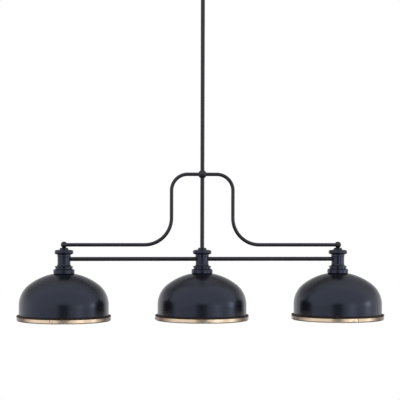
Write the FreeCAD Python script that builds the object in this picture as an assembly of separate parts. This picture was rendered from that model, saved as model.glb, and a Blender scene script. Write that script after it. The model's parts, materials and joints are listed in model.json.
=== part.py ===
"""Linear island pendant: three domed metal shades under a bent-tube frame on a rod stem.

Millimetres. X runs along the row of shades, Y front to back, Z up. The origin is on the
ceiling, on the stem's axis, so the whole part hangs below z = 0.

A lamp (shade, trim, neck and lamp holder) is drawn once with z = 0 at the bottom of its
trim band, and then copied to its place in the row.
"""
import FreeCAD, Part
import math
import os

# ---------------------------------------------------------------- driving dimensions, mm
# fits
SEAT_GAP = 0.05          # radial clearance of a threaded or pushed-in joint
RUN_GAP = 0.05           # radial clearance of a turning joint
DRILL_GAP = 0.1          # radial clearance of a plain hole round a screw or a head
FACE_GAP = 0.3           # gap between faces that slide past each other
BAND_GAP = 0.3           # radial play of a trim band on its lip
EDGE_BREAK = 0.6         # chamfer on small turned edges

# ceiling set
CROSSBAR_LENGTH = 108.0
CROSSBAR_WIDTH = 20.0
CROSSBAR_THICK = 2.0
CROSSBAR_CORNER = 6.0
BOX_SCREW_SPACING = 88.9
BOX_SLOT_WIDTH = 4.8
BOX_SLOT_LENGTH = 12.0
EARTH_SCREW_X = 16.0
EARTH_SCREW_DIA = 4.0
EARTH_HEAD_DIA = 7.6
EARTH_HEAD_HEIGHT = 2.6
EARTH_SLOT_WIDTH = 1.0
EARTH_SLOT_DEPTH = 1.1
CANOPY_DIA = 127.0
CANOPY_HEIGHT = 24.0
CANOPY_SHOULDER = 13.0
CANOPY_WALL = 1.5
CANOPY_BOSS_DIA = 50.0
CANOPY_BOSS_DROP = 3.0
CANOPY_SCREW_SPACING = 66.0
CANOPY_SCREW_DIA = 4.0
BALL_HEAD_HEIGHT = 9.0
BALL_HEAD_RIM_DIA = 11.0
BALL_HEAD_RIM_THICK = 2.0

# swivel under the canopy
SWIVEL_BALL_DIA = 32.0
SWIVEL_WALL = 3.2
SWIVEL_NECK_DIA = 19.0
SWIVEL_NECK_LENGTH = 14.0
SWIVEL_SEAT_THICK = 4.0
SWIVEL_THREAD_LENGTH = 12.0
BOLT_HEAD_DIA = 14.0
BOLT_HEAD_THICK = 3.0
BOLT_TIP = 3.0
RIVET_DIA = 6.0
RIVET_HEAD_DIA = 9.0
RIVET_HEAD_THICK = 1.6
RIVET_SPOT_DEPTH = 2.6
RIVET_BOSS_DIA = 11.0

# threaded tube that joins the rods, and its nuts
NIPPLE_DIA = 9.7
NIPPLE_BORE = 7.0
ROD_NIPPLE_LENGTH = 24.0
NUT_ACROSS_FLATS = 15.9
NUT_THICK = 4.0

# stem and frame
ROD_DIA = 16.0
ROD_WALL = 1.25
ROD_END_DEPTH = 14.0
ROD_SHORT_LENGTH = 76.2
ROD_LONG_LENGTH = 304.8
HUB_DIA = 33.5
CENTER_TUBE_LENGTH = 269.8
ARM_DIA = 14.0
ARM_WALL = 1.2
ARM_DROP_X = 119.5
ARM_UPPER_BEND = 63.0
ARM_LOWER_BEND = 104.0
ARM_SEAT_DEPTH = 5.5
END_BALL_DIA = 25.4
END_BALL_FLAT_DIA = 12.0
END_BALL_DRILL_ROOM = 1.0
BAR_WALL = 1.4
BAR_REACH_IN = 1.0
LAMP_SPACING = 533.4

# neck: base flange, body and cap, stacked on the shade
NECK_BORE_DIA = 41.0
BASE_HEIGHT = 24.0
BASE_FLANGE_DIA = 82.0
BASE_FLANGE_HEIGHT = 14.9
BASE_FLANGE_ROUND = 2.4
BASE_UNDERCUT = 1.6
BASE_BAND_DIA = 66.0
BASE_BAND_HEIGHT = 5.5
BODY_HEIGHT = 46.5
BODY_COLUMN_DIA = 50.0
BODY_FOOT_DIA = 70.0
BODY_FOOT_HEIGHT = 4.4
BODY_COVE = 8.6
BODY_BAND_REACH = 1.3
BODY_BAND_HEIGHT = 6.2
BODY_WEB = 6.0
BAR_HEIGHT_IN_BODY = 32.1
CAP_HEIGHT = 29.0
CAP_STEP_HEIGHT = 3.4
CAP_FLANGE_DIA = 72.6
CAP_FLANGE_THICK = 15.8
CAP_FLANGE_ROUND = 7.2
CAP_COLLAR_DIA = 34.0
CAP_COLLAR_FOOT = 22.2
CAP_COLLAR_SHOULDER = 25.8
CAP_COLLAR_TOP_DIA = 25.0
NECK_NIPPLE_RISE = 10.0
NECK_NIPPLE_TIP = 1.2

# lamp holder
BRACKET_WIDTH = 10.0
BRACKET_SPAN = 30.0
BRACKET_THICK = 1.8
BRACKET_BEND = 2.6
BRACKET_FOOT = 8.0
HOLDER_DIA = 37.0
HOLDER_SKIRT_DIA = 39.0
HOLDER_RISE = 32.5
HOLDER_DROP = 30.0
HOLDER_LEAD_IN = 2.0
HOLDER_SCREW_SPACING = 20.4
HOLDER_SCREW_DIA = 3.0
HOLDER_SCREW_LENGTH = 8.0
HOLDER_HEAD_DIA = 5.6
HOLDER_HEAD_HEIGHT = 2.0
SHELL_BORE = 26.4
SHELL_WALL = 0.7
SHELL_LENGTH = 22.0
SHELL_RECESS = 14.0
CHAMBER_DIA = 19.0
CHAMBER_HEIGHT = 9.0
CONTACT_DIA = 9.0
CONTACT_THICK = 0.8
CONTACT_WIDTH = 4.0
CONTACT_DROP = 5.0
SHADE_NUT_DIA = 56.0
SHADE_NUT_THICK = 7.0
SHADE_NUT_RIM = 2.0
SHADE_NUT_NOTCHES = 6
SHADE_NUT_NOTCH_DIA = 5.0

# shade: spun dome of two radii, straight skirt, bead and the lip that carries the trim band
SHADE_DIA = 344.5
SHADE_WALL = 1.5
DOME_RISE = 124.2
DOME_SHOULDER_RADIUS = 99.0
DOME_LAND_DIA = 76.0
SHADE_HOLE_DIA = 40.0
SKIRT_HEIGHT = 39.2
BEAD_HEIGHT = 5.0
BEAD_REACH = 9.0
BEAD_ROUND = 1.8
LIP_HEIGHT = 11.5

# trim band and its screws
TRIM_SETBACK = 0.6
TRIM_HEIGHT = 15.5
TRIM_WALL = 1.9
TRIM_FOOT_ROUND = 4.5
TRIM_FOOT_WIDTH = 7.0
TRIM_SEAM = 1.6
TRIM_SCREWS = 4
TRIM_SCREW_DIA = 3.0
TRIM_SCREW_TIP = 0.6
TRIM_HEAD_DIA = 7.5
TRIM_HEAD_RISE = 3.0
TRIM_SCREW_HEIGHT = 8.2

# the row: place along X, and where the first screw and the seam stand (degrees from the front, + to +X)
LAMPS = {
    "left": {"x": -LAMP_SPACING, "screw_angle": -14.6, "seam_angle": -17.5, "bars": (1,)},
    "center": {"x": 0.0, "screw_angle": 3.4, "seam_angle": 180.0, "bars": (-1, 1)},
    "right": {"x": LAMP_SPACING, "screw_angle": 9.0, "seam_angle": 15.0, "bars": (-1,)},
}

# ---------------------------------------------------------------- places worked out
V = FreeCAD.Vector
O = V(0, 0, 0)
X_AXIS = V(1, 0, 0)
Y_AXIS = V(0, 1, 0)
Z_AXIS = V(0, 0, 1)


def ball_flat(dia, flat_dia):
    """Height from a ball's middle to a flat of the given diameter."""
    return math.sqrt((dia / 2) ** 2 - (flat_dia / 2) ** 2)


canopy_floor = -(CANOPY_HEIGHT + CANOPY_BOSS_DROP)
swivel_top = canopy_floor - FACE_GAP
pivot_z = swivel_top - SWIVEL_NECK_LENGTH - SWIVEL_BALL_DIA / 2
swivel_foot = 2 * pivot_z - swivel_top
hub_flat = ball_flat(HUB_DIA, ROD_DIA)
rod_short_foot = swivel_foot - ROD_SHORT_LENGTH
rod_upper_foot = rod_short_foot - ROD_LONG_LENGTH
rod_lower_foot = rod_upper_foot - ROD_LONG_LENGTH
hub_z = rod_lower_foot - hub_flat
center_tube_top = hub_z - hub_flat
cap_top = center_tube_top - CENTER_TUBE_LENGTH
ball_seat = ball_flat(END_BALL_DIA, END_BALL_FLAT_DIA)
end_ball_z = cap_top + ball_seat
hub_seat_x = ball_flat(HUB_DIA, ARM_DIA) - ARM_SEAT_DEPTH
end_seat_x = ball_flat(END_BALL_DIA, ARM_DIA) - ARM_SEAT_DEPTH

# heights in a lamp, from the bottom of its trim band
bead_foot = TRIM_HEIGHT
bead_top = bead_foot + BEAD_HEIGHT
dome_foot = bead_top + SKIRT_HEIGHT

# the crown's radius makes it meet the shoulder's arc without a corner
shoulder_x = SHADE_DIA / 2 - DOME_SHOULDER_RADIUS
crown_radius = (shoulder_x ** 2 + DOME_RISE ** 2 - DOME_SHOULDER_RADIUS ** 2) / (
    2 * (DOME_RISE - DOME_SHOULDER_RADIUS))
crown_z = dome_foot + DOME_RISE - crown_radius
land_z = crown_z + ball_flat(2 * crown_radius, DOME_LAND_DIA)

base_top = land_z + BASE_HEIGHT
body_top = base_top + BODY_HEIGHT
lamp_height = body_top + CAP_HEIGHT
web_foot = body_top - BODY_WEB
bar_height = base_top + BAR_HEIGHT_IN_BODY
holder_top = land_z + HOLDER_RISE
holder_foot = land_z - HOLDER_DROP
shell_foot = holder_foot + SHELL_RECESS
shell_top = shell_foot + SHELL_LENGTH
chamber_top = shell_top + CHAMBER_HEIGHT
bead_outer = SHADE_DIA / 2 + BEAD_REACH
trim_outer = bead_outer - TRIM_SETBACK
lip_outer = trim_outer - TRIM_WALL - BAND_GAP
lip_inner = lip_outer - SHADE_WALL
lamp_z = cap_top - lamp_height
bar_z = lamp_z + bar_height


# ---------------------------------------------------------------- shape helpers
def arc_between(start, end, center):
    """The shorter arc round a centre, in the XZ plane."""
    middle = ((start - center) + (end - center)).normalize() * (start - center).Length
    return Part.Arc(start, center + middle, end).toShape()


def line(start, end):
    """Straight edge."""
    return Part.LineSegment(start, end).toShape()


def rounded_edges(corners, closed=True):
    """Edges through (x, z[, rounding]) corners in the XZ plane, each rounding a true arc."""
    points = [V(c[0], 0, c[1]) for c in corners]
    count = len(points)
    ins, outs, centers = [], [], []
    for i, corner in enumerate(corners):
        here = points[i]
        if len(corner) == 2 or (not closed and i in (0, count - 1)):
            ins.append(here)
            outs.append(here)
            centers.append(None)
            continue
        back = (points[i - 1] - here).normalize()
        ahead = (points[(i + 1) % count] - here).normalize()
        half = back.getAngle(ahead) / 2
        trim = corner[2] / math.tan(half)
        ins.append(here + back * trim)
        outs.append(here + ahead * trim)
        centers.append(here + (back + ahead).normalize() * (corner[2] / math.sin(half)))
    edges = []
    for i in range(count):
        if centers[i] is not None:
            edges.append(arc_between(ins[i], outs[i], centers[i]))
        if closed or i < count - 1:
            following = ins[(i + 1) % count]
            if outs[i].distanceToPoint(following) > 1e-6:
                edges.append(line(outs[i], following))
    return edges


def face_of(edges):
    """Flat face inside edges given in any order."""
    return Part.Face(Part.Wire(Part.__sortEdges__(edges)))


def turned(corners):
    """Solid turned about Z from a closed outline of (radius, height[, rounding]) corners."""
    return face_of(rounded_edges(corners)).revolve(O, Z_AXIS, 360)


def strip(corners, width):
    """Closed outline in the XZ plane, extruded along Y and centred on it."""
    return face_of(rounded_edges(corners)).extrude(Y_AXIS * width).translated(Y_AXIS * (-width / 2))


def rod(dia, foot, top, x=0.0, y=0.0):
    """Upright cylinder between two heights."""
    return Part.makeCylinder(dia / 2, top - foot, V(x, y, foot))


def level_rod(dia, start, end, height):
    """Cylinder along X through the stem's line, between two places on it."""
    return Part.makeCylinder(dia / 2, end - start, V(start, 0, height), X_AXIS)


def mirrored_to(sign, shape):
    """A shape drawn on the +X side, or turned round to the -X side."""
    return shape if sign > 0 else shape.rotated(O, Z_AXIS, 180)


def pan_screw(dia, length, head_dia, head_height):
    """Screw with its seat at z = 0, its shank below and a bevelled head above."""
    bevel = head_height / 2
    shank, head = dia / 2, head_dia / 2
    return turned([(0, -length), (shank, -length), (shank, 0), (head, 0), (head, bevel),
                   (head - bevel, head_height), (0, head_height)])


def hex_nut(foot, thick):
    """Hexagon nut with the nipple's bore."""
    radius = NUT_ACROSS_FLATS / math.sqrt(3)
    ring = [V(radius * math.cos(math.radians(60 * i)), radius * math.sin(math.radians(60 * i)), foot)
            for i in range(7)]
    block = Part.Face(Part.makePolygon(ring)).extrude(Z_AXIS * thick)
    return block.cut(rod(NIPPLE_DIA + 2 * SEAT_GAP, foot, foot + thick))


def nipple(foot, length):
    """Threaded tube, drawn at its thread's outside diameter."""
    return rod(NIPPLE_DIA, foot, foot + length).cut(rod(NIPPLE_BORE, foot, foot + length))


def radial(shape, turn):
    """Turn a shape drawn along +X to point `turn` degrees from the front, + towards +X."""
    return shape.rotated(O, Z_AXIS, turn - 90)


def around(count, turn):
    """Even turns round the lamp, starting at `turn`."""
    return [turn + 360.0 / count * i for i in range(count)]


# ---------------------------------------------------------------- ceiling set
def make_crossbar():
    """Steel strap for the ceiling box: two slots, two tapped holes, an earth hole, a wire hole."""
    half = CROSSBAR_LENGTH / 2
    side = CROSSBAR_WIDTH / 2
    foot = -CROSSBAR_THICK
    bar = Part.makeBox(CROSSBAR_LENGTH, CROSSBAR_WIDTH, CROSSBAR_THICK, V(-half, -side, foot))
    upright = [e for e in bar.Edges if abs(e.tangentAt(e.FirstParameter).z) > 0.9]
    bar = bar.makeFillet(CROSSBAR_CORNER, upright)
    reach = (BOX_SLOT_LENGTH - BOX_SLOT_WIDTH) / 2
    for sign in (-1, 1):
        middle = sign * BOX_SCREW_SPACING / 2
        slot = Part.makeBox(2 * reach, BOX_SLOT_WIDTH, CROSSBAR_THICK,
                            V(middle - reach, -BOX_SLOT_WIDTH / 2, foot))
        for end in (-reach, reach):
            slot = slot.fuse(rod(BOX_SLOT_WIDTH, foot, 0, middle + end))
        bar = bar.cut(slot)
        bar = bar.cut(rod(CANOPY_SCREW_DIA + 2 * SEAT_GAP, foot, 0, sign * CANOPY_SCREW_SPACING / 2))
    bar = bar.cut(rod(EARTH_SCREW_DIA + 2 * SEAT_GAP, foot, 0, EARTH_SCREW_X))
    return bar.cut(rod(NIPPLE_DIA + 2 * SEAT_GAP, foot, 0))


def make_earth_screw():
    """Slotted screw for the earth lead, its head under the crossbar."""
    screw = pan_screw(EARTH_SCREW_DIA, CROSSBAR_THICK, EARTH_HEAD_DIA, EARTH_HEAD_HEIGHT)
    slot = Part.makeBox(EARTH_HEAD_DIA, EARTH_SLOT_WIDTH, EARTH_SLOT_DEPTH,
                        V(-EARTH_HEAD_DIA / 2, -EARTH_SLOT_WIDTH / 2, EARTH_HEAD_HEIGHT - EARTH_SLOT_DEPTH))
    return screw.cut(slot).rotated(O, Y_AXIS, 180).translated(V(EARTH_SCREW_X, 0, -CROSSBAR_THICK))


def make_canopy():
    """Pressed round pan, open to the ceiling, with a raised boss round the swivel bolt."""
    rim = CANOPY_DIA / 2
    boss = CANOPY_BOSS_DIA / 2
    wall = CANOPY_WALL
    hole = NIPPLE_DIA / 2 + SEAT_GAP
    boss_inside = boss - wall * math.tan(math.radians(22.5))
    pan = turned([
        (hole, canopy_floor), (boss - CANOPY_BOSS_DROP, canopy_floor), (boss, -CANOPY_HEIGHT),
        (rim, -CANOPY_HEIGHT, CANOPY_SHOULDER), (rim, 0), (rim - wall, 0),
        (rim - wall, -CANOPY_HEIGHT + wall, CANOPY_SHOULDER - wall),
        (boss_inside, -CANOPY_HEIGHT + wall), (boss_inside - CANOPY_BOSS_DROP, canopy_floor + wall),
        (hole, canopy_floor + wall)])
    for sign in (-1, 1):
        x = sign * CANOPY_SCREW_SPACING / 2
        pan = pan.cut(rod(CANOPY_SCREW_DIA + 2 * DRILL_GAP, canopy_floor, 0, x))
    return pan


def make_canopy_screws():
    """Two ball-head screws that hold the canopy up to the crossbar."""
    seat = -CANOPY_HEIGHT
    radius = BALL_HEAD_HEIGHT / 2
    screw = Part.makeSphere(radius, V(0, 0, seat - radius))
    screw = screw.fuse(rod(BALL_HEAD_RIM_DIA, seat - BALL_HEAD_RIM_THICK, seat))
    screw = screw.fuse(rod(CANOPY_SCREW_DIA, seat - BALL_HEAD_RIM_THICK, 0))
    half = CANOPY_SCREW_SPACING / 2
    return Part.makeCompound([screw.translated(X_AXIS * x) for x in (-half, half)])


def make_swivel_bolt():
    """Hollow shoulder bolt: the leads pass through it, and the swivel turns on it."""
    inner, outer, head = NIPPLE_BORE / 2, NIPPLE_DIA / 2, BOLT_HEAD_DIA / 2
    top = canopy_floor + CANOPY_WALL + NUT_THICK + BOLT_TIP
    seat = swivel_top - SWIVEL_SEAT_THICK - RUN_GAP
    foot = seat - BOLT_HEAD_THICK
    return turned([(inner, foot), (head, foot), (head, seat), (outer, seat),
                   (outer, top - EDGE_BREAK), (outer - EDGE_BREAK, top), (inner, top)])


# ---------------------------------------------------------------- swivel
def swivel_half(seat_thick, hole_dia):
    """Half ball with a neck, drawn as the upper half on the +X side of the pivot.

    The neck clears the other half's ball, so that it can tilt right round its rivet.
    """
    ball = SWIVEL_BALL_DIA / 2
    neck_top = ball + SWIVEL_NECK_LENGTH
    clear = ball + FACE_GAP
    beyond = 2 * ball
    near_half = Part.makeBox(beyond, 2 * beyond, 2 * beyond, V(FACE_GAP / 2, -beyond, -beyond))
    shell = Part.makeSphere(ball).fuse(rod(SWIVEL_NECK_DIA, 0, clear)).common(near_half)
    body = shell.fuse(rod(SWIVEL_NECK_DIA, clear, neck_top))
    hollow = Part.makeSphere(ball - SWIVEL_WALL)
    hollow = hollow.fuse(rod(BOLT_HEAD_DIA + 2 * DRILL_GAP, 0, neck_top - seat_thick))
    body = body.cut(hollow)
    boss = level_rod(RIVET_BOSS_DIA, FACE_GAP / 2, ball, 0)
    body = body.fuse(boss.common(Part.makeSphere(ball - SWIVEL_WALL / 2)))
    body = body.cut(level_rod(RIVET_DIA + 2 * RUN_GAP, 0, ball, 0))
    body = body.cut(level_rod(RIVET_HEAD_DIA + 2 * FACE_GAP, ball - RIVET_SPOT_DEPTH, beyond, 0))
    body = body.cut(rod(hole_dia, neck_top - seat_thick, neck_top))
    return body.removeSplitter()


def make_swivel_upper():
    """Upper half: its top wall hangs on the hollow bolt's head and turns on its shank."""
    return swivel_half(SWIVEL_SEAT_THICK, NIPPLE_DIA + 2 * RUN_GAP).translated(Z_AXIS * pivot_z)


def make_swivel_lower():
    """Lower half: upside down on the other side of the split, tapped for the stem's nipple."""
    half = swivel_half(SWIVEL_THREAD_LENGTH, NIPPLE_DIA + 2 * SEAT_GAP)
    return half.rotated(O, Y_AXIS, 180).translated(Z_AXIS * pivot_z)


def make_swivel_rivet():
    """Pivot through both halves, headed over in a spot face at each end."""
    seat = SWIVEL_BALL_DIA / 2 - RIVET_SPOT_DEPTH + RUN_GAP
    body = level_rod(RIVET_DIA, -seat, seat, 0)
    head = level_rod(RIVET_HEAD_DIA, seat, seat + RIVET_HEAD_THICK, 0)
    for sign in (-1, 1):
        body = body.fuse(mirrored_to(sign, head))
    return body.translated(Z_AXIS * pivot_z)


# ---------------------------------------------------------------- stem and frame
def stem_rod(foot, length):
    """Steel tube with a tapped plug in each end for a nipple."""
    outer, inner, tapped = ROD_DIA / 2, ROD_DIA / 2 - ROD_WALL, NIPPLE_DIA / 2 + SEAT_GAP
    top = foot + length
    return turned([(tapped, foot), (outer, foot), (outer, top), (tapped, top),
                   (tapped, top - ROD_END_DEPTH), (inner, top - ROD_END_DEPTH),
                   (inner, foot + ROD_END_DEPTH), (tapped, foot + ROD_END_DEPTH)])


def make_stem_nipples():
    """One nipple across each joint of the stem, from the swivel down to the centre tube."""
    joints = [swivel_foot, rod_short_foot, rod_upper_foot, rod_lower_foot, center_tube_top]
    return Part.makeCompound([nipple(z - ROD_NIPPLE_LENGTH / 2, ROD_NIPPLE_LENGTH) for z in joints])


def make_hub_ball():
    """Turned ball with a flat for the stem above and below and a seat for each arm."""
    radius = HUB_DIA / 2
    ball = Part.makeSphere(radius)
    flats = Part.makeBox(HUB_DIA, HUB_DIA, 2 * hub_flat, V(-radius, -radius, -hub_flat))
    ball = ball.common(flats).cut(rod(NIPPLE_DIA + 2 * SEAT_GAP, -radius, radius))
    seat = level_rod(ARM_DIA + 2 * SEAT_GAP, hub_seat_x, radius, 0)
    for sign in (-1, 1):
        ball = ball.cut(mirrored_to(sign, seat))
    return ball.translated(Z_AXIS * hub_z)


def make_arm(sign):
    """Bent tube: level out of the hub, down, and level out again to the end ball."""
    upper_x = ARM_DROP_X - ARM_UPPER_BEND
    upper_z = hub_z - ARM_UPPER_BEND
    lower_x = ARM_DROP_X + ARM_LOWER_BEND
    lower_z = end_ball_z + ARM_LOWER_BEND
    end_x = LAMP_SPACING - end_seat_x

    def ring(place, heading):
        radii = (ARM_DIA / 2, ARM_DIA / 2 - ARM_WALL)
        outer, inner = [Part.Face(Part.Wire([Part.makeCircle(r, place, heading)])) for r in radii]
        return outer.cut(inner).Faces[0]

    runs = [
        ring(V(hub_seat_x, 0, hub_z), X_AXIS).extrude(X_AXIS * (upper_x - hub_seat_x)),
        ring(V(upper_x, 0, hub_z), X_AXIS).revolve(V(upper_x, 0, upper_z), Y_AXIS, 90),
        ring(V(ARM_DROP_X, 0, lower_z), Z_AXIS).extrude(Z_AXIS * (upper_z - lower_z)),
        ring(V(ARM_DROP_X, 0, lower_z), Z_AXIS).revolve(V(lower_x, 0, lower_z), Y_AXIS, -90),
        ring(V(lower_x, 0, end_ball_z), X_AXIS).extrude(X_AXIS * (end_x - lower_x)),
    ]
    tube = runs[0].fuse(runs[1:])
    bends = (ARM_UPPER_BEND + ARM_LOWER_BEND) * math.pi / 2
    length = upper_x - hub_seat_x + upper_z - lower_z + end_x - lower_x + bends
    section = math.pi * ((ARM_DIA / 2) ** 2 - (ARM_DIA / 2 - ARM_WALL) ** 2)
    print("arm volume over section times length: %.5f" % (tube.Volume / (section * length)))
    return mirrored_to(sign, tube)


def make_end_ball(sign):
    """Ball on an outer neck: flat and tapped below, with a seat for the arm on its inner side."""
    radius = END_BALL_DIA / 2
    ball = Part.makeSphere(radius)
    below = Part.makeBox(END_BALL_DIA, END_BALL_DIA, radius, V(-radius, -radius, -ball_seat - radius))
    ball = ball.cut(below)
    drill_top = NECK_NIPPLE_RISE + END_BALL_DRILL_ROOM - ball_seat
    ball = ball.cut(rod(NIPPLE_DIA + 2 * SEAT_GAP, -radius, drill_top))
    ball = ball.cut(level_rod(ARM_DIA + 2 * SEAT_GAP, -radius, -end_seat_x, 0))
    return mirrored_to(sign, ball.translated(V(LAMP_SPACING, 0, end_ball_z)))


def make_bar(sign):
    """Straight tube between two necks; the leads to the outer lamp run through it."""
    start = NECK_BORE_DIA / 2 - BAR_REACH_IN
    end = LAMP_SPACING - start
    tube = level_rod(ROD_DIA, start, end, bar_z).cut(level_rod(ROD_DIA - 2 * BAR_WALL, start, end, bar_z))
    return mirrored_to(sign, tube)


# ---------------------------------------------------------------- a lamp, drawn at x = 0
def make_neck_cap(lamp):
    """Turned cap: a full-rounded flange, and a small collar that the ball or rod stands on."""
    hole = NIPPLE_DIA / 2 + SEAT_GAP
    flange = CAP_FLANGE_DIA / 2
    collar = CAP_COLLAR_DIA / 2
    step = BODY_COLUMN_DIA / 2 + BODY_BAND_REACH
    flange_foot = body_top + CAP_STEP_HEIGHT
    return turned([
        (hole, body_top), (step, body_top), (step, flange_foot), (flange, flange_foot, CAP_FLANGE_ROUND),
        (flange, flange_foot + CAP_FLANGE_THICK, CAP_FLANGE_ROUND), (collar, body_top + CAP_COLLAR_FOOT),
        (collar, body_top + CAP_COLLAR_SHOULDER), (CAP_COLLAR_TOP_DIA / 2, lamp_height),
        (hole, lamp_height)])


def make_neck_body(lamp):
    """Column with a coved foot and a band under the cap, a web on top and the bar holes."""
    column = BODY_COLUMN_DIA / 2
    foot = BODY_FOOT_DIA / 2
    band = column + BODY_BAND_REACH
    bore = NECK_BORE_DIA / 2
    hole = NIPPLE_DIA / 2 + SEAT_GAP
    ledge = base_top + BODY_FOOT_HEIGHT
    body = turned([
        (bore, base_top), (foot - EDGE_BREAK, base_top), (foot, base_top + EDGE_BREAK),
        (foot, ledge - EDGE_BREAK), (foot - EDGE_BREAK, ledge), (column, ledge, BODY_COVE),
        (column, body_top - BODY_BAND_HEIGHT), (band, body_top - BODY_BAND_HEIGHT + BODY_BAND_REACH),
        (band, body_top), (hole, body_top), (hole, web_foot), (bore, web_foot)])
    reach = level_rod(ROD_DIA + 2 * SEAT_GAP, bore - 2 * BAR_REACH_IN, foot, bar_height)
    for side in lamp["bars"]:
        body = body.cut(mirrored_to(side, reach))
    return body


def make_neck_base(lamp):
    """Round flange that seats on the shade's land, with a band above it."""
    bore = NECK_BORE_DIA / 2
    flange = BASE_FLANGE_DIA / 2
    band = BASE_BAND_DIA / 2
    return turned([
        (bore, land_z), (DOME_LAND_DIA / 2, land_z), (flange, land_z + BASE_UNDERCUT),
        (flange, land_z + BASE_FLANGE_HEIGHT, BASE_FLANGE_ROUND), (band, base_top - BASE_BAND_HEIGHT),
        (band, base_top), (bore, base_top)])


def make_neck_nipples():
    """Threaded tubes that clamp each neck's stack to its ball or to the centre tube."""
    foot = web_foot - BRACKET_THICK - NUT_THICK - NECK_NIPPLE_TIP
    tube = nipple(lamp_z + foot, lamp_height + NECK_NIPPLE_RISE - foot)
    return Part.makeCompound([tube.translated(X_AXIS * lamp["x"]) for lamp in LAMPS.values()])


def make_neck_locknuts():
    """Nuts under each neck's web, with the holder bracket held between nut and web."""
    top = lamp_z + web_foot - BRACKET_THICK
    return Part.makeCompound([hex_nut(top - NUT_THICK, NUT_THICK).translated(X_AXIS * lamp["x"])
                              for lamp in LAMPS.values()])


def make_socket_bracket(lamp):
    """Bent steel strap from the neck's web down to the lamp holder."""
    half = BRACKET_SPAN / 2
    foot = half - BRACKET_FOOT
    thick = BRACKET_THICK
    inside = half - thick
    low, high = holder_top, web_foot
    strap = strip([
        (-foot, low), (-half, low, BRACKET_BEND), (-half, high, BRACKET_BEND), (half, high, BRACKET_BEND),
        (half, low, BRACKET_BEND), (foot, low), (foot, low + thick), (inside, low + thick),
        (inside, high - thick), (-inside, high - thick), (-inside, low + thick), (-foot, low + thick),
    ], BRACKET_WIDTH)
    strap = strap.cut(rod(NIPPLE_DIA + 2 * SEAT_GAP, high - thick, high))
    for side in (-1, 1):
        strap = strap.cut(rod(HOLDER_SCREW_DIA + 2 * SEAT_GAP, low, low + thick,
                              side * HOLDER_SCREW_SPACING / 2))
    return strap.rotated(O, Z_AXIS, 90)


def make_socket_screws():
    """Screws that hold the lamp holders to their brackets."""
    screw = pan_screw(HOLDER_SCREW_DIA, HOLDER_SCREW_LENGTH, HOLDER_HEAD_DIA, HOLDER_HEAD_HEIGHT)
    seat = lamp_z + holder_top + BRACKET_THICK
    places = [V(lamp["x"], side * HOLDER_SCREW_SPACING / 2, seat)
              for lamp in LAMPS.values() for side in (-1, 1)]
    return Part.makeCompound([screw.translated(place) for place in places])


def make_socket_body(lamp):
    """Moulded lamp holder: smooth upper barrel, wider threaded skirt, deep mouth below."""
    upper, skirt = HOLDER_DIA / 2, HOLDER_SKIRT_DIA / 2
    cavity = SHELL_BORE / 2 + SHELL_WALL + SEAT_GAP
    chamber = CHAMBER_DIA / 2
    step = skirt - upper
    body = turned([
        (0, holder_top), (upper - step, holder_top), (upper, holder_top - step), (upper, land_z + step),
        (skirt, land_z), (skirt, holder_foot), (cavity + HOLDER_LEAD_IN, holder_foot),
        (cavity, holder_foot + HOLDER_LEAD_IN), (cavity, shell_top), (chamber, shell_top),
        (chamber, chamber_top), (0, chamber_top)])
    for side in (-1, 1):
        body = body.cut(rod(HOLDER_SCREW_DIA + 2 * SEAT_GAP, holder_top - HOLDER_SCREW_LENGTH, holder_top,
                            0, side * HOLDER_SCREW_SPACING / 2))
    return body


def make_socket_shell(lamp):
    """Screw shell for the lamp's base, drawn at its thread's inside diameter."""
    outer = rod(SHELL_BORE + 2 * SHELL_WALL, shell_foot, shell_top)
    return outer.cut(rod(SHELL_BORE, shell_foot, shell_top))


def make_socket_contact(lamp):
    """Sprung centre contact: a round foot and a leaf bent down towards the lamp."""
    seat = chamber_top - CONTACT_THICK
    reach = CONTACT_DIA / 2 - CONTACT_THICK
    tip = seat - CONTACT_DROP
    leaf = strip([(-reach, seat), (-reach + 2 * CONTACT_THICK, seat), (reach, tip + CONTACT_THICK),
                  (reach, tip)], CONTACT_WIDTH)
    return rod(CONTACT_DIA, seat, chamber_top).fuse(leaf)


def make_shade_nut(lamp):
    """Threaded ring that clamps the shade up against the neck, with grip notches."""
    top = land_z - SHADE_WALL
    foot = top - SHADE_NUT_THICK
    outer = SHADE_NUT_DIA / 2
    ring = rod(SHADE_NUT_DIA, foot, top).cut(rod(HOLDER_SKIRT_DIA + 2 * SEAT_GAP, foot, top))
    notch = rod(SHADE_NUT_NOTCH_DIA, foot, top - SHADE_NUT_RIM, outer)
    for turn in around(SHADE_NUT_NOTCHES, 0):
        ring = ring.cut(notch.rotated(O, Z_AXIS, turn))
    return ring


def dome_edges(thickness, inner_radius, height):
    """Shoulder and crown arcs, set in by a wall's thickness, up to a point on the crown."""
    shoulder_center, crown_center = V(shoulder_x, 0, dome_foot), V(0, 0, crown_z)
    meeting = shoulder_center + (shoulder_center - crown_center).normalize() * (
        DOME_SHOULDER_RADIUS - thickness)
    springing = V(SHADE_DIA / 2 - thickness, 0, dome_foot)
    return [arc_between(springing, meeting, shoulder_center),
            arc_between(meeting, V(inner_radius, 0, height), crown_center)]


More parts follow.
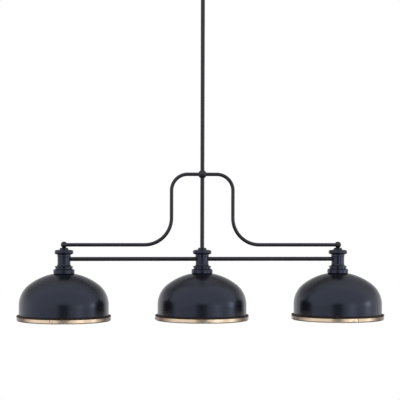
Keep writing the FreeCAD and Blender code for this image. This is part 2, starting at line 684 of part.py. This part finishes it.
def make_shade(lamp):
    """Spun steel shade: flat land, two-radius dome, straight skirt, bead and trim lip."""
    wall = SHADE_WALL
    outer = SHADE_DIA / 2
    hole = SHADE_HOLE_DIA / 2
    land = DOME_LAND_DIA / 2
    ceiling = land_z - wall
    land_inside = math.sqrt((crown_radius - wall) ** 2 - (ceiling - crown_z) ** 2)
    lip_foot = bead_foot - LIP_HEIGHT
    top_run = rounded_edges([(land_inside, ceiling), (hole, ceiling), (hole, land_z), (land, land_z)],
                            closed=False)
    rim_run = rounded_edges([
        (outer, dome_foot), (outer, bead_top), (bead_outer, bead_top, BEAD_ROUND),
        (bead_outer, bead_foot, BEAD_ROUND), (lip_outer, bead_foot), (lip_outer, lip_foot),
        (lip_inner, lip_foot), (lip_inner, bead_top - wall), (outer - wall, bead_top - wall),
        (outer - wall, dome_foot)], closed=False)
    outline = dome_edges(0, land, land_z) + dome_edges(wall, land_inside, ceiling) + top_run + rim_run
    shade = face_of(outline).revolve(O, Z_AXIS, 360)
    drill = level_rod(TRIM_SCREW_DIA + 2 * SEAT_GAP, lip_inner - wall, bead_outer, TRIM_SCREW_HEIGHT)
    for turn in around(TRIM_SCREWS, lamp["screw_angle"]):
        shade = shade.cut(radial(drill, turn))
    return shade


def make_trim_ring(lamp):
    """Split brass band under the bead: upright face, rounded foot turned in, one seam."""
    wall = TRIM_WALL
    inner = trim_outer - wall
    foot_inner = trim_outer - TRIM_FOOT_WIDTH
    top = TRIM_HEIGHT - SEAT_GAP
    band = turned([(inner, top), (trim_outer, top), (trim_outer, 0, TRIM_FOOT_ROUND), (foot_inner, 0),
                   (foot_inner, wall), (inner, wall, TRIM_FOOT_ROUND - wall)])
    drill = level_rod(TRIM_SCREW_DIA + 2 * SEAT_GAP, foot_inner, bead_outer, TRIM_SCREW_HEIGHT)
    for turn in around(TRIM_SCREWS, lamp["screw_angle"]):
        band = band.cut(radial(drill, turn))
    seam = Part.makeBox(2 * TRIM_FOOT_WIDTH, TRIM_SEAM, 2 * TRIM_HEIGHT,
                        V(trim_outer - 1.5 * TRIM_FOOT_WIDTH, -TRIM_SEAM / 2, -TRIM_HEIGHT / 2))
    return band.cut(radial(seam, lamp["seam_angle"]))


def make_trim_screws(lamp):
    """Round-head screws through the band into the shade's tapped lip."""
    length = trim_outer - lip_inner + TRIM_SCREW_TIP
    screw = pan_screw(TRIM_SCREW_DIA, length, TRIM_HEAD_DIA, TRIM_HEAD_RISE)
    screw = screw.rotated(O, Y_AXIS, 90).translated(V(trim_outer, 0, TRIM_SCREW_HEIGHT))
    return Part.makeCompound([radial(screw, turn) for turn in around(TRIM_SCREWS, lamp["screw_angle"])])


LAMP_PARTS = {
    "neck_cap": make_neck_cap,
    "neck_body": make_neck_body,
    "neck_base": make_neck_base,
    "socket_bracket": make_socket_bracket,
    "socket_body": make_socket_body,
    "socket_shell": make_socket_shell,
    "socket_contact": make_socket_contact,
    "shade_nut": make_shade_nut,
    "shade": make_shade,
    "trim_ring": make_trim_ring,
    "trim_screws": make_trim_screws,
}


# ---------------------------------------------------------------- all the nodes
def all_parts():
    """Every node by name."""
    parts = {
        "crossbar": make_crossbar(),
        "earth_screw": make_earth_screw(),
        "canopy": make_canopy(),
        "canopy_screws": make_canopy_screws(),
        "canopy_locknut": hex_nut(canopy_floor + CANOPY_WALL, NUT_THICK),
        "swivel_bolt": make_swivel_bolt(),
        "swivel_upper": make_swivel_upper(),
        "swivel_rivet": make_swivel_rivet(),
        "swivel_lower": make_swivel_lower(),
        "stem_rod_short": stem_rod(rod_short_foot, ROD_SHORT_LENGTH),
        "stem_rod_upper": stem_rod(rod_upper_foot, ROD_LONG_LENGTH),
        "stem_rod_lower": stem_rod(rod_lower_foot, ROD_LONG_LENGTH),
        "stem_nipples": make_stem_nipples(),
        "hub_ball": make_hub_ball(),
        "center_tube": stem_rod(cap_top, CENTER_TUBE_LENGTH),
        "neck_nipples": make_neck_nipples(),
        "neck_locknuts": make_neck_locknuts(),
        "socket_screws": make_socket_screws(),
    }
    for name, sign in (("left", -1), ("right", 1)):
        parts["arm_" + name] = make_arm(sign)
        parts["end_ball_" + name] = make_end_ball(sign)
        parts["bar_" + name] = make_bar(sign)
    for place, lamp in LAMPS.items():
        for kind, make in LAMP_PARTS.items():
            parts[kind + "_" + place] = make(lamp).translated(V(lamp["x"], 0, lamp_z))
    return parts


os.makedirs("parts", exist_ok=True)
for node, shape in all_parts().items():
    shape.exportStep("parts/" + node + ".step")
    print("%-24s %d solid(s), %.0f mm3, valid %s" % (node, len(shape.Solids), shape.Volume, shape.isValid()))
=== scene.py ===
"""Finish and studio for a linear island pendant: satin black domes with brass trim bands."""
import json
import math

import bpy
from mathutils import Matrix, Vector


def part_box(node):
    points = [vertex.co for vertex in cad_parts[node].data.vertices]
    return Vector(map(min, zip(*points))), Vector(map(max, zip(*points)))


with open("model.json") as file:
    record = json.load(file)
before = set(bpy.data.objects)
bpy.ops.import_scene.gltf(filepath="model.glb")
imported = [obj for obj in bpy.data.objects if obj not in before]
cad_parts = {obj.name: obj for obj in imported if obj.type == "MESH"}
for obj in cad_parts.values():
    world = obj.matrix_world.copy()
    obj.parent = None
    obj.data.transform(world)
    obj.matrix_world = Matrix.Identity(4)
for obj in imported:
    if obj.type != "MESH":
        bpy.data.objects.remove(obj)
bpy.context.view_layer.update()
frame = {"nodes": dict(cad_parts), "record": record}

# ------------------------------------------------------------------ places, in metres
MM = 0.001
LAMPS = ("left", "center", "right")
BEAD_HEIGHT = 5 * MM    # rolled bead of the shade, just above the band
RIM_Z, BAND_TOP = (corner[2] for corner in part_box("trim_ring_center"))
BEAD_TOP = BAND_TOP + BEAD_HEIGHT


def middle_x(node):
    """Place of a node's middle along the row."""
    low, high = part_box(node)
    return (low[0] + high[0]) / 2


LAMP_X = {lamp: middle_x("neck_base_" + lamp) for lamp in LAMPS}


# ------------------------------------------------------------------ colour and nodes
def tint(code):
    """Linear RGBA from an sRGB hex colour."""
    values = [int(code[i:i + 2], 16) / 255 for i in (1, 3, 5)]
    return [v / 12.92 if v <= 0.04045 else ((v + 0.055) / 1.055) ** 2.4 for v in values] + [1.0]


def add_node(tree, kind, inputs=None, output=0, **settings):
    """Add a node with its settings and inputs, each input a value or another node's output. Returns
    the output asked for, where the node has any."""
    made = tree.nodes.new("ShaderNode" + kind)
    for name, value in settings.items():
        setattr(made, name, value)
    for name, value in (inputs or {}).items():
        if isinstance(value, bpy.types.NodeSocket):
            tree.links.new(value, made.inputs[name])
        else:
            made.inputs[name].default_value = value
    return made.outputs[output] if made.outputs else None


# sockets of a Mix node that blends colours: the two colours and the result
COLOR_A, COLOR_B, BLENDED = 6, 7, 2

# a noise pattern's values lie mostly between these
NOISE_SPAN = {"From Min": 0.3, "From Max": 0.7}

# depth of the fine texture on coats and on the brushed brass
TEXTURE_DEPTH = 0.02 * MM


def new_material(name):
    """New material with an empty node tree; returns both."""
    made = bpy.data.materials.new(name)
    made.use_nodes = True
    made.node_tree.nodes.clear()
    return made, made.node_tree


def mottled(tree, size, colors, roughness, detail=3.0):
    """Shader inputs for a surface whose colour and roughness drift between two values in blotches
    about `size` metres across."""
    where = add_node(tree, "TexCoord", output="Object")
    blotches = add_node(tree, "TexNoise", {"Vector": where, "Scale": 1 / size, "Detail": detail})
    color = add_node(tree, "Mix", {"Factor": blotches, COLOR_A: tint(colors[0]),
                                   COLOR_B: tint(colors[1])}, BLENDED, data_type="RGBA")
    rough = add_node(tree, "MapRange", {"Value": blotches, **NOISE_SPAN,
                                        "To Min": roughness[0], "To Max": roughness[1]})
    return {"Base Color": color, "Roughness": rough}


# ------------------------------------------------------------------ black coat and white enamel
COAT_IOR = 1.64
COAT_BLACKS = ("#050508", "#09090d")
COAT_DRIFT = 90 * MM
FRAME_COAT_ROUGHNESS = (0.25, 0.3)
SHADE_COAT_ROUGHNESS = 0.27
# painted bluer sheen for the shades' and necks' copy of the coat, matched to how light fell on them;
# the frame has the same coat with NEUTRAL_SHEEN
PAINTED_COOL_SHEEN = "#cddaff"
NEUTRAL_SHEEN = "#e0dff2"
PEEL_SIZE = 1.6 * MM
GRIT_SIZE = 0.7 * MM

# the bead round each shade's rim: a painted reflection of the brass band below it, warm brown-black
# with a warm sheen, rougher, fading into the plain coat above
BEAD_REFLECTION_IOR = 1.5
PAINTED_BRASS_REFLECTION_BROWN = "#241a16"
BEAD_REFLECTION_ROUGHNESS = 0.6
PAINTED_BRASS_REFLECTION_SHEEN = "#c9b6a6"
BEAD_REFLECTION_FADE = 5 * MM      # height over which the painted brass reflection on the bead fades into the plain coat

ENAMEL_IOR = 1.5
ENAMEL_WHITES = ("#e9e8e3", "#f1f0ec")
ENAMEL_ROUGHNESS = (0.3, 0.42)
ENAMEL_CLOUD = 60 * MM
ENAMEL_RIPPLE = 2.2 * MM


def orange_peel(tree):
    """Normal of sprayed powder: a faint peel, with finer grit on it."""
    where = add_node(tree, "TexCoord", output="Object")
    peel = add_node(tree, "TexNoise", {"Vector": where, "Scale": 1 / PEEL_SIZE, "Detail": 1.0})
    grit = add_node(tree, "TexNoise", {"Vector": where, "Scale": 1 / GRIT_SIZE, "Detail": 0.0})
    height = add_node(tree, "Math", {0: peel, 1: grit}, operation="ADD")
    return add_node(tree, "Bump", {"Height": height, "Strength": 0.03, "Distance": TEXTURE_DEPTH})


def powder_coat(name, sheen):
    """Satin polyester powder coat on steel: nearly black, with slow drifts in gloss, its sheen
    tinted when seen straight on and white at the edges."""
    made, tree = new_material(name)
    coat = add_node(tree, "BsdfPrincipled", {
        "IOR": COAT_IOR, "Specular Tint": tint(sheen), "Normal": orange_peel(tree),
        **mottled(tree, COAT_DRIFT, COAT_BLACKS, FRAME_COAT_ROUGHNESS)})
    add_node(tree, "OutputMaterial", {"Surface": coat})
    return made


def coat_with_painted_bead_reflection(tree):
    """Shader of a shade's powder coat: black, and on the bead round the rim a painted warm reflection
    of the brass band below it, a dull brown-black."""
    where = add_node(tree, "TexCoord", output="Object")
    drift = add_node(tree, "TexNoise", {"Vector": where, "Scale": 1 / COAT_DRIFT, "Detail": 3.0})
    black = add_node(tree, "Mix", {"Factor": drift, COLOR_A: tint(COAT_BLACKS[0]),
                                   COLOR_B: tint(COAT_BLACKS[1])}, BLENDED, data_type="RGBA")
    height = add_node(tree, "SeparateXYZ", {0: where}, "Z")
    # painted reflection mask: 1 on the bead, fading to 0 above it
    painted_reflection_mask = add_node(tree, "MapRange", {"Value": height, "From Min": BEAD_TOP,
                                       "From Max": BEAD_TOP + BEAD_REFLECTION_FADE, "To Min": 1.0, "To Max": 0.0})
    inputs = {"Normal": orange_peel(tree)}
    for name, coat_value, reflected in (("Base Color", black, tint(PAINTED_BRASS_REFLECTION_BROWN)),
                                ("Specular Tint", tint(PAINTED_COOL_SHEEN), tint(PAINTED_BRASS_REFLECTION_SHEEN))):
        inputs[name] = add_node(tree, "Mix", {"Factor": painted_reflection_mask, COLOR_A: coat_value, COLOR_B: reflected},
                                BLENDED, data_type="RGBA")
    for name, coat_value, reflected in (("IOR", COAT_IOR, BEAD_REFLECTION_IOR),
                                ("Roughness", SHADE_COAT_ROUGHNESS, BEAD_REFLECTION_ROUGHNESS)):
        inputs[name] = add_node(tree, "MapRange", {"Value": painted_reflection_mask, "To Min": coat_value, "To Max": reflected})
    return add_node(tree, "BsdfPrincipled", inputs)


def white_enamel(tree):
    """Shader of baked white enamel: warm white with a soft gloss and a faint ripple."""
    where = add_node(tree, "TexCoord", output="Object")
    ripple = add_node(tree, "TexNoise", {"Vector": where, "Scale": 1 / ENAMEL_RIPPLE, "Detail": 1.0})
    waves = add_node(tree, "Bump", {"Height": ripple, "Strength": 0.05, "Distance": TEXTURE_DEPTH})
    return add_node(tree, "BsdfPrincipled", {
        "IOR": ENAMEL_IOR, "Normal": waves,
        **mottled(tree, ENAMEL_CLOUD, ENAMEL_WHITES, ENAMEL_ROUGHNESS)})


def shade_coat(lamp):
    """Powder coat outside a shade and, inside, the white enamel that throws the light down. A face
    is inside where it looks towards the middle of the mouth."""
    made, tree = new_material("satin_black_outside_white_enamel_inside_" + lamp)
    where = add_node(tree, "TexCoord", output="Object")
    from_mouth = add_node(tree, "Mapping", {"Vector": where, "Location": (-LAMP_X[lamp], 0, -RIM_Z)})
    normal = add_node(tree, "TexCoord", output="Normal")
    facing = add_node(tree, "VectorMath", {0: normal, 1: from_mouth}, "Value", operation="DOT_PRODUCT")
    inside = add_node(tree, "Math", {0: facing, 1: 0.0}, operation="LESS_THAN")
    both = add_node(tree, "MixShader", {0: inside, 1: coat_with_painted_bead_reflection(tree), 2: white_enamel(tree)})
    add_node(tree, "OutputMaterial", {"Surface": both})
    return made


# ------------------------------------------------------------------ brass and small parts
SCRATCH_LENGTH = 50 * MM
SCRATCH_WIDTH = 0.4 * MM    # real brush lines are finer and would not show even close up
STAIN_SIZE = 35 * MM
BAND_GOLDS = ("#ecd4ba", "#f2dbc1")
# painted dark reflection: the brown the band turns towards its edges as seen
PAINTED_EDGE_REFLECTION_BROWN = "#75655a"
BAND_ROUGHNESS = (0.22, 0.3)


def brass_band():
    """Brushed brass under lacquer: pale gold, fine scratches that run round the band, slightly browner
    stains, and a painted darker brown reflection where the band is seen at a slant."""
    made, tree = new_material("brushed_lacquered_brass")
    where = add_node(tree, "TexCoord", output="Object")
    drawn_out = add_node(tree, "Mapping", {"Vector": where, "Scale": (
        1 / SCRATCH_LENGTH, 1 / SCRATCH_LENGTH, 1 / SCRATCH_WIDTH)})
    lines = add_node(tree, "TexNoise", {"Vector": drawn_out, "Scale": 1.0, "Detail": 3.0})
    stains = add_node(tree, "TexNoise", {"Vector": where, "Scale": 1 / STAIN_SIZE, "Detail": 3.0})
    clear = add_node(tree, "MapRange", {"Value": stains, **NOISE_SPAN})
    gold = add_node(tree, "Mix", {"Factor": clear, COLOR_A: tint(BAND_GOLDS[0]),
                                  COLOR_B: tint(BAND_GOLDS[1])}, BLENDED, data_type="RGBA")
    # painted reflection: the band turns darker brown where seen at a slant, standing in for the dark
    # surroundings it reflects there
    slant = add_node(tree, "LayerWeight", {"Blend": 0.5}, "Facing")
    painted_edge_reflection = add_node(tree, "MapRange", {"Value": slant, "From Min": 0.22, "From Max": 0.5})
    color = add_node(tree, "Mix", {"Factor": painted_edge_reflection, COLOR_A: gold, COLOR_B: tint(PAINTED_EDGE_REFLECTION_BROWN)},
                     BLENDED, data_type="RGBA")
    rough = add_node(tree, "MapRange", {"Value": lines, **NOISE_SPAN,
                                        "To Min": BAND_ROUGHNESS[0], "To Max": BAND_ROUGHNESS[1]})
    scratches = add_node(tree, "Bump", {"Height": lines, "Strength": 0.05, "Distance": TEXTURE_DEPTH})
    brass = add_node(tree, "BsdfPrincipled", {"Metallic": 1.0, "Base Color": color,
                                              "Roughness": rough, "Normal": scratches})
    add_node(tree, "OutputMaterial", {"Surface": brass})
    return made


def small_part(name, size, colors, roughness, detail=3.0, **constants):
    """Finish of a small part, mottled in blotches about `size` metres across."""
    made, tree = new_material(name)
    surface = add_node(tree, "BsdfPrincipled", {
        **constants, **mottled(tree, size, colors, roughness, detail)})
    add_node(tree, "OutputMaterial", {"Surface": surface})
    return made


FINISH = {
    "black_powder_coat": powder_coat("satin_black_powder_coat", NEUTRAL_SHEEN),
    # the same coat with a painted bluer sheen, for the necks and shades
    "powder_coat_painted_cool_sheen": powder_coat("satin_black_powder_coat_painted_cool_sheen", PAINTED_COOL_SHEEN),
    "aged_brass": brass_band(),
    # zinc plate on steel: cool grey with soft blotches
    "zinc_steel": small_part("zinc_plated_steel", size=6 * MM, colors=("#a4a7a9", "#c6c8c6"),
                             roughness=(0.3, 0.45), detail=4.0, Metallic=1.0),
    # nickel plate on the lamp holder's rolled shell: warm bright metal with a light haze
    "nickel_shell": small_part("nickel_plated_shell", size=4 * MM, colors=("#c6bfb2", "#d8d2c6"),
                               roughness=(0.18, 0.3), detail=2.0, Metallic=1.0),
    # moulded phenolic of the lamp holder: brown-black, dull gloss, fine flow mottling
    "holder_moulding": small_part("moulded_phenolic", size=3 * MM, colors=("#171514", "#242120"),
                                  roughness=(0.35, 0.5), detail=4.0, IOR=1.55),
    # bare sprung brass of the centre contact: yellow, lightly tarnished
    "contact_brass": small_part("bare_spring_brass", size=2 * MM, colors=("#a8803c", "#d8b468"),
                                roughness=(0.24, 0.36), Metallic=1.0),
    # green-dyed zinc of the earth screw: colour worn thin on the high spots
    "earth_green": small_part("green_dyed_screw", size=1.2 * MM, colors=("#1f6b35", "#3f9a55"),
                              roughness=(0.3, 0.45), Metallic=0.8),
}


def dress_nodes():
    """Give every CAD node the finish of its record slot. The turned necks get the shades' copy of the
    coat, whose bluer sheen is painted to match how light fell on them, and each shade has its own
    two-sided coat."""
    slots = {part["node"]: part["material_slot"] for part in frame["record"]["subparts"]}
    for lamp in LAMPS:
        for kind in ("neck_cap_", "neck_body_", "neck_base_"):
            slots[kind + lamp] = "powder_coat_painted_cool_sheen"
    for name, piece in frame["nodes"].items():
        piece.data.materials.clear()
        piece.data.materials.append(FINISH[slots[name]])
    for lamp in LAMPS:
        frame["nodes"]["shade_" + lamp].data.materials[0] = shade_coat(lamp)


# ------------------------------------------------------------------ camera
CAMERA_TURN = math.radians(-5.55)
CAMERA_YAW = math.radians(0.09)
CAMERA_ROLL = math.radians(0.17)
CAMERA_RANGE = 5.666
CAMERA_Z = RIM_Z + 0.465
FOCAL_PIXELS = 1461     # focal length, in pixels of a frame that is FRAME_PIXELS wide
FRAME_PIXELS = 400
SENSOR_WIDTH = 36


def place_around(angle, distance, height):
    """Point at a distance from the stem's axis. The angle is from the front, + to +X."""
    return distance * math.sin(angle), -distance * math.cos(angle), height


def make_camera():
    """Level camera, a little left of centre and above the rims, far off with a long lens."""
    lens = bpy.data.cameras.new("camera")
    lens.sensor_width = SENSOR_WIDTH
    lens.lens = FOCAL_PIXELS / FRAME_PIXELS * SENSOR_WIDTH
    camera = bpy.data.objects.new("camera", lens)
    camera.location = place_around(CAMERA_TURN, CAMERA_RANGE, CAMERA_Z)
    camera.rotation_euler = (math.pi / 2, -CAMERA_ROLL, CAMERA_TURN + CAMERA_YAW)
    bpy.context.scene.collection.objects.link(camera)
    bpy.context.scene.camera = camera


# ------------------------------------------------------------------ light and stage
PLAIN_LIGHT = 0.72      # strength of the surroundings on plain surfaces
SKY_DIM = 0.6           # share of the sky's strength lost high up behind the pendant
FLOOR_SIZE = 9
FLOOR_DROP = 0.9        # floor below the rims
GAP_WIDTH = 2.8
GAP_HEIGHT = 2.0
GAP_RANGE = 1.05 * CAMERA_RANGE
GAP_DROP = 0.3          # gap's middle below the camera
AIM_Z = RIM_Z + 0.1     # height on the shades at which the lights aim


def make_world():
    """White surroundings for the eye and for reflections, which see a dimmer sky high up behind
    the pendant; surfaces get a plain level of light."""
    world = bpy.data.worlds.new("studio")
    bpy.context.scene.world = world
    world.use_nodes = True
    tree = world.node_tree
    tree.nodes.clear()
    white = tint("#ffffff")
    way = add_node(tree, "TexCoord", output="Generated")
    behind = add_node(tree, "MapRange", {"Value": add_node(tree, "SeparateXYZ", {0: way}, "Y"),
                                         "From Min": 0.0, "From Max": 0.6})
    high_up = add_node(tree, "MapRange", {"Value": add_node(tree, "SeparateXYZ", {0: way}, "Z"),
                                          "From Min": 0.1, "From Max": 0.4, "To Max": SKY_DIM})
    dim = add_node(tree, "Math", {0: behind, 1: high_up}, operation="MULTIPLY")
    sky = add_node(tree, "Math", {0: 1.0, 1: dim}, operation="SUBTRACT")
    mirrored = add_node(tree, "Math", {0: add_node(tree, "LightPath", output="Is Glossy Ray"),
                                       1: add_node(tree, "LightPath", output="Is Transmission Ray")},
                        operation="MAXIMUM")
    plain = add_node(tree, "Background", {"Color": white, "Strength": PLAIN_LIGHT})
    around = add_node(tree, "Background", {"Color": white, "Strength": sky})
    backdrop = add_node(tree, "Background", {"Color": white, "Strength": 1.0})
    lit = add_node(tree, "MixShader", {0: mirrored, 1: plain, 2: around})
    seen = add_node(tree, "MixShader", {0: add_node(tree, "LightPath", output="Is Camera Ray"),
                                        1: lit, 2: backdrop})
    add_node(tree, "OutputWorld", {"Surface": seen})


def make_floor():
    """Floor well below the shades: white to the eye and to the light it throws back, a plain grey to
    reflections, and clear from beneath, so that the inside of the shades can be seen."""
    bpy.ops.object.select_all(action="DESELECT")
    bpy.ops.mesh.primitive_plane_add(size=FLOOR_SIZE, location=(0, 0, RIM_Z - FLOOR_DROP))
    floor = bpy.context.object
    floor.name = "floor"
    made, tree = new_material("pale_floor")
    color = add_node(tree, "Mix", {"Factor": add_node(tree, "LightPath", output="Is Diffuse Ray"),
                                   COLOR_A: tint("#a9a9a7"), COLOR_B: tint("#f0f0ee")}, BLENDED,
                     data_type="RGBA")
    paint = add_node(tree, "BsdfPrincipled", {"Base Color": color, "Roughness": 0.9})
    white = add_node(tree, "Emission", {"Color": tint("#ffffff"), "Strength": 1.0})
    above = add_node(tree, "MixShader", {0: add_node(tree, "LightPath", output="Is Camera Ray"),
                                         1: paint, 2: white})
    clear = add_node(tree, "BsdfTransparent")
    both = add_node(tree, "MixShader", {0: add_node(tree, "NewGeometry", output="Backfacing"),
                                        1: above, 2: clear})
    add_node(tree, "OutputMaterial", {"Surface": both})
    floor.data.materials.append(made)


def make_gap():
    """Dark gap between the studio's lights, behind the camera: only reflections show it."""
    bpy.ops.object.select_all(action="DESELECT")
    bpy.ops.mesh.primitive_plane_add(size=1)
    gap = bpy.context.object
    gap.name = "gap_behind_camera"
    gap.scale = (GAP_WIDTH, GAP_HEIGHT, 1)
    gap.rotation_euler = (math.pi / 2, 0, CAMERA_TURN)
    gap.location = place_around(CAMERA_TURN, GAP_RANGE, CAMERA_Z - GAP_DROP)
    gap.visible_camera = False
    gap.visible_diffuse = False
    gap.visible_shadow = False
    made, tree = new_material("dark_curtain")
    cloth = add_node(tree, "BsdfPrincipled", {"Base Color": tint("#060607"), "Roughness": 0.9})
    add_node(tree, "OutputMaterial", {"Surface": cloth})
    gap.data.materials.append(made)


def make_lamp(name, turn, distance, rise, size, radiance):
    """Square soft light aimed at the shades. Turn is in degrees from the front, + to +X."""
    light = bpy.data.lights.new(name, "AREA")
    light.shape = "RECTANGLE"
    light.size = light.size_y = size
    light.energy = radiance * math.pi * size ** 2
    lamp = bpy.data.objects.new(name, light)
    angle = math.radians(turn)
    lamp.location = place_around(angle, distance, AIM_Z + rise)
    lamp.rotation_euler = (math.pi / 2 - math.atan2(rise, distance), 0, angle)
    bpy.context.scene.collection.objects.link(lamp)


def make_studio():
    """A wide soft light in front on the right, and a small bright one far to the right."""
    make_lamp("front_right", turn=34, distance=4.0, rise=-0.1, size=1.2, radiance=0.8)
    make_lamp("side_right", turn=75, distance=3.4, rise=0.18, size=0.7, radiance=3.2)


make_camera()
make_world()
make_floor()
make_gap()
make_studio()
dress_nodes()

bpy.context.scene.view_settings.view_transform = "Standard"
